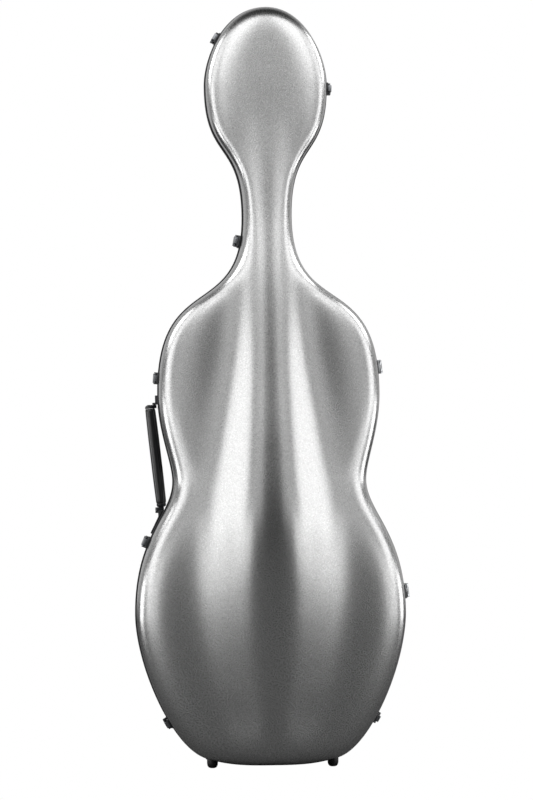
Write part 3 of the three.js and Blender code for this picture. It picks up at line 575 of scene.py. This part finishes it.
# The cradle, rests and tip pocket are foam and card under the same velour, so their corners are soft
# and their free faces crowned. Each is grown from its solid: the rests shrink a little and are then
# swollen by air pressure in cloth, held where they lie on the lining. The card pocket is only softened.
rest_voxel = 3.2 * mm
rest_rounds = 20
rest_crown = 5 * mm
rest_shrink = 2 * mm
rest_swell = 3.5 * mm
pocket_voxel = 1.6 * mm
pocket_rounds = 6
pocket_crown = 2.5 * mm
pad_smooth = 80
relax_factor = 0.5
held_facing = -0.4
air_pressure = 4
last_frame = 20
calm_rounds = 16


def relaxed(piece, name, rounds):
    """Evens out the skin of a piece by so many rounds of smoothing."""
    smooth = piece.modifiers.new(name, "SMOOTH")
    smooth.factor = relax_factor
    smooth.iterations = rounds
    bpy.ops.object.modifier_apply(modifier=name)


def swollen(piece, way):
    """Air pressure under the cloth of a rest; the side on the lining is held, and no point moves far."""
    for vertex in piece.data.vertices:
        freedom = max(0, 0.5 + 0.5 * vertex.normal.y * way) ** 0.5
        vertex.co -= vertex.normal * rest_shrink * freedom
    start = [vertex.co.copy() for vertex in piece.data.vertices]
    lying = [vertex.index for vertex in piece.data.vertices if vertex.normal.y * way < held_facing]
    piece.vertex_groups.new(name="held").add(lying, 1, "REPLACE")
    air = piece.modifiers.new("air", "CLOTH")
    air.settings.vertex_group_mass = "held"
    air.settings.use_pressure = True
    air.settings.uniform_pressure_force = air_pressure
    air.settings.effector_weights.gravity = 0
    air.point_cache.frame_start = 1
    air.point_cache.frame_end = last_frame
    for frame_number in range(1, last_frame + 1):
        bpy.context.scene.frame_set(frame_number)
    bpy.context.view_layer.objects.active = piece
    bpy.ops.object.modifier_apply(modifier="air")
    bpy.context.scene.frame_set(1)
    for vertex, before in zip(piece.data.vertices, start):
        move = vertex.co - before
        if move.length > rest_swell:
            vertex.co = before + move * (rest_swell / move.length)
    relaxed(piece, "calm", calm_rounds)


def crowned(piece, way, crown):
    """Raises the free face of a piece, most in its middle."""
    points = [vertex.co for vertex in piece.data.vertices]
    low = Vector([min(point[axis] for point in points) for axis in range(3)])
    high = Vector([max(point[axis] for point in points) for axis in range(3)])
    middle, half = (low + high) / 2, (high - low) / 2
    for vertex in piece.data.vertices:
        across = (vertex.co.x - middle.x) / half.x
        up = (vertex.co.z - middle.z) / half.z
        dome_share = max(0, 1 - across ** 4) * max(0, 1 - up ** 4)
        vertex.co.y += way * crown * dome_share * max(0, vertex.normal.y * way)


def upholstered(name, voxel, rounds, crown, way, air):
    """A soft piece grown from the CAD node; way is the side of its free face, along Y."""
    source = nodes[name]
    data = source.data.copy()
    data.transform(source.matrix_world)
    piece = show(name + "_padded", data)
    select_only(piece)
    remesh = piece.modifiers.new("even_skin", "REMESH")
    remesh.mode = "VOXEL"
    remesh.voxel_size = voxel
    bpy.ops.object.modifier_apply(modifier="even_skin")
    relaxed(piece, "soft_corners", rounds)
    if air:
        swollen(piece, way)
    else:
        crowned(piece, way, crown)
    finer = piece.modifiers.new("finer", "SUBSURF")
    finer.levels = 1
    finer.render_levels = 1
    smooth_by_angle(piece, pad_smooth)
    return piece


for name in ("neck_cradle", "upper_rest_pad", "lower_rest_pad_left", "lower_rest_pad_right"):
    rest = upholstered(name, rest_voxel, rest_rounds, rest_crown, -1, True)
    fit(rest, "back", "velour", velour, name)
pocket = upholstered("bow_tip_pocket", pocket_voxel, pocket_rounds, pocket_crown, 1, False)
fit(pocket, "lid", "velour", velour, "bow_tip_pocket")

# The grip is a padded tube under smooth black leather, a little fuller in the middle, with a turned seam
# along the side next to the case.
grip_turns = 56
grip_rows = 60
grip_neck = 8.4 * mm
grip_swell = 0.8 * mm
swell_slope = 3.2
swell_power = 0.6
end_round = 2.2 * mm
end_share = 0.08
seam_height = 0.5 * mm
seam_half = 1.6 * mm
grip_smooth = 50


def grip_ends():
    """The middles of the grip's two end faces."""
    source = nodes["handle_grip"]
    points = [source.matrix_world @ vertex.co for vertex in source.data.vertices]
    middle = sum(points, Vector()) / len(points)
    upper = [point for point in points if point.z > middle.z]
    along = (middle - sum(upper, Vector()) / len(upper)).normalized()
    reach = [(point - middle).dot(along) for point in points]
    return middle + along * min(reach), middle + along * max(reach)


def padded_grip():
    """Rings of points down the grip; the seam is a ridge on the side towards the case."""
    top, bottom = grip_ends()
    along = (bottom - top).normalized()
    inward = (Vector((1, 0, 0)) - along * along.x).normalized()
    side = along.cross(inward)
    length = (bottom - top).length
    mesh = bmesh.new()
    grid = []
    for row in range(grip_rows + 1):
        share = row / grip_rows
        end = min(share, 1 - share)
        edge = min(1, end * length / end_round)
        swell = grip_swell * min(1, swell_slope * end) ** swell_power
        radius = (grip_neck + swell) * (1 - end_share + end_share * math.sin(math.pi / 2 * edge))
        centre = top + along * (share * length)
        line = []
        for turn in range(grip_turns):
            angle = 2 * math.pi * turn / grip_turns
            across = radius * math.sin(angle)
            seam = seam_height * math.exp(-(across / seam_half) ** 2) if math.cos(angle) > 0 else 0
            way = inward * math.cos(angle) + side * math.sin(angle)
            line.append(mesh.verts.new(centre + way * (radius + seam * edge)))
        grid.append(line)
    for first, second in zip(grid, grid[1:]):
        join_rows(mesh, first, second)
    mesh.faces.new(grid[0])
    mesh.faces.new(grid[-1])
    piece = to_piece("handle_grip_leather", mesh)
    smooth_by_angle(piece, grip_smooth)
    return piece


leather_black = "151517"
pebble_size = 1.3 * mm
pebble_depth = 0.15 * mm
polish_size = 30 * mm


def smooth_leather():
    """Smooth black leather with a fine pebble and a polish that hands have left uneven."""
    material = new_material("smooth_black_leather")
    place = add_node(material, "ShaderNodeTexCoord")
    pebble = add_node(material, "ShaderNodeTexVoronoi", {
        "Scale": 1 / pebble_size, "feature": "SMOOTH_F1",
    }, {"Vector": place.outputs["Object"]})
    polish = add_node(material, "ShaderNodeTexNoise", {"Scale": 1 / polish_size, "Detail": 2.0},
                      {"Vector": place.outputs["Object"]})
    rough = add_node(material, "ShaderNodeMapRange", {"To Min": 0.22, "To Max": 0.42},
                     {"Value": polish.outputs["Fac"]})
    dent = add_node(material, "ShaderNodeBump", {"Strength": 0.15, "Distance": pebble_depth},
                    {"Height": pebble.outputs["Distance"]})
    skin = add_node(material, "ShaderNodeBsdfPrincipled", {
        "Base Color": linear(leather_black), "Coat Weight": 0.35, "Coat Roughness": 0.25,
    }, {"Roughness": rough.outputs["Result"], "Normal": dent.outputs["Normal"]})
    output(material, skin.outputs[0])
    return material


fit(padded_grip(), "handle", "grip", smooth_leather(), "handle_grip")

# The fittings: black coated steel for the latch bases, catches, bow spinners, handle mounts and ends and
# strap loops, nickel plate for the levers, claws and hinges, rubber for the feet and nylon for the bow
# blocks. They keep their made shape and get the rounded edges of pressed, tumbled and moulded parts.
part_edge = 0.5 * mm
lever_edge = 0.7 * mm
wide_edge = 1 * mm
edge_segments = 3
edge_angle = 40
weld_gap = 0.002 * mm
brush_width = 0.4 * mm
brush_stretch = 0.05
black_steel = satin_black("black_coated_steel", "1C1D20", 0.36, 0.6 * mm, 0.08)
black_rubber = satin_black("black_foot_rubber", "1E1E1E", 0.45, 1.5 * mm, 0.2)


def nickel(name, hexed, smoothest, roughest):
    """Plated steel, brushed along Y, with the polish worn unevenly."""
    material = new_material(name)
    place = add_node(material, "ShaderNodeTexCoord")
    stretch = add_node(material, "ShaderNodeMapping", {"Scale": (1, brush_stretch, 1)},
                       {"Vector": place.outputs["Object"]})
    lines = add_node(material, "ShaderNodeTexNoise", {"Scale": 1 / brush_width, "Detail": 3.0},
                     {"Vector": stretch.outputs["Vector"]})
    rough = add_node(material, "ShaderNodeMapRange", {"To Min": smoothest, "To Max": roughest},
                     {"Value": lines.outputs["Fac"]})
    metal = add_node(material, "ShaderNodeBsdfPrincipled", {
        "Base Color": linear(hexed), "Metallic": 1.0,
    }, {"Roughness": rough.outputs["Result"]})
    output(material, metal.outputs[0])
    return material


dark_nickel = nickel("dark_brushed_nickel", "8B8D90", 0.22, 0.42)
black_nickel = nickel("black_nickel_plate", "55575B", 0.16, 0.34)
bright_nickel = nickel("bright_nickel_plate", "C6C8CB", 0.14, 0.3)


def dress(name, material, edge):
    """A CAD node that stays: its corners are rounded and it gets its finish."""
    node = nodes[name]
    node.data.materials.clear()
    node.data.materials.append(material)
    weld = node.modifiers.new("weld", "WELD")
    weld.merge_threshold = weld_gap
    bevel = node.modifiers.new("rounded_edges", "BEVEL")
    bevel.width = edge
    bevel.segments = edge_segments
    bevel.limit_method = "ANGLE"
    bevel.angle_limit = math.radians(edge_angle)
    bevel.use_clamp_overlap = True
    smooth_by_angle(node, edge_angle)


finishes = {
    ("latch_base", "latch_catch", "bow_spinner", "handle_mount", "handle_end"): (black_steel, part_edge),
    ("strap_loop",): (black_steel, wide_edge),
    ("hinge",): (bright_nickel, wide_edge),
    ("latch_lever",): (black_nickel, lever_edge),
    ("latch_claw",): (dark_nickel, part_edge),
    ("foot",): (black_rubber, part_edge),
    ("bow_block",): (trim_black, wide_edge),
}
for starts, (material, edge) in finishes.items():
    for name in nodes:
        if name.startswith(starts):
            dress(name, material, edge)
